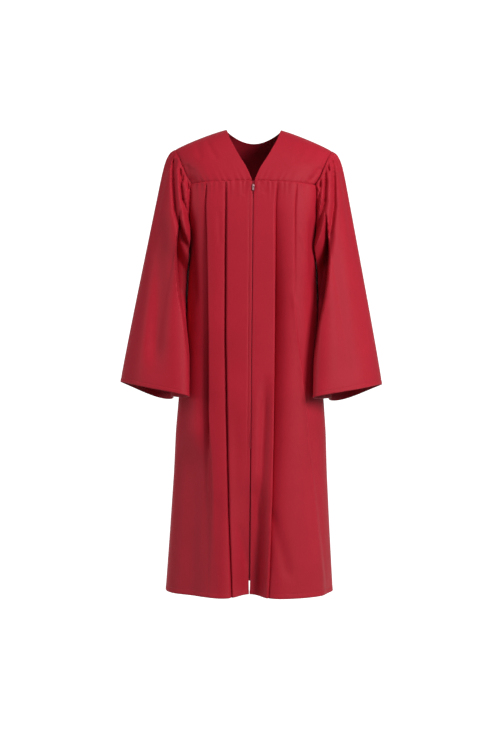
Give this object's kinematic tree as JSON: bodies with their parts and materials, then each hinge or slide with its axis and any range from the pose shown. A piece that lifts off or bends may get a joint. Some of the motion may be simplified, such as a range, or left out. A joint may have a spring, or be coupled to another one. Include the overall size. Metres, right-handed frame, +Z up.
{
  "type": "choir robe",
  "caption": "Crimson choir robe in its worn form, with a flat V-neck yoke, pleated fronts and back, gathered long bell sleeves and a centre front zip.",
  "frame": {"origin": "the middle of the neck opening, level with the sides of the neck, where a wearer's shoulders hold the robe up", "axes": "+Z up along the robe's length, +Y towards its back, +X towards the wearer's left; the front faces -Y"},
  "size_m": [0.6452, 0.3253, 1.1328],
  "materials": {
    "robe_cloth": "matte crimson woven polyester",
    "zip_tape": "matte woven tape",
    "zip_metal": "satin"
  },
  "bodies": {
    "robe": {"yoke_front_right": "robe_cloth", "yoke_front_left": "robe_cloth", "yoke_back": "robe_cloth", "front_right": "robe_cloth", "front_left": "robe_cloth", "back": "robe_cloth", "sleeve_right": "robe_cloth", "sleeve_left": "robe_cloth", "zip_tape_right": "zip_tape", "zip_tape_left": "zip_tape", "zip_slider": "zip_metal", "zip_stop": "zip_metal"},
    "pull_tab": {"zip_pull": "zip_metal"}
  },
  "joints": [
    {"name": "pull_hinge", "type": "hinge", "parent": "robe", "child": "pull_tab", "pos_m": [0, -0.12942, -0.153], "axis": [-1, 0, 0], "range_deg": [0, 150]}
  ]
}
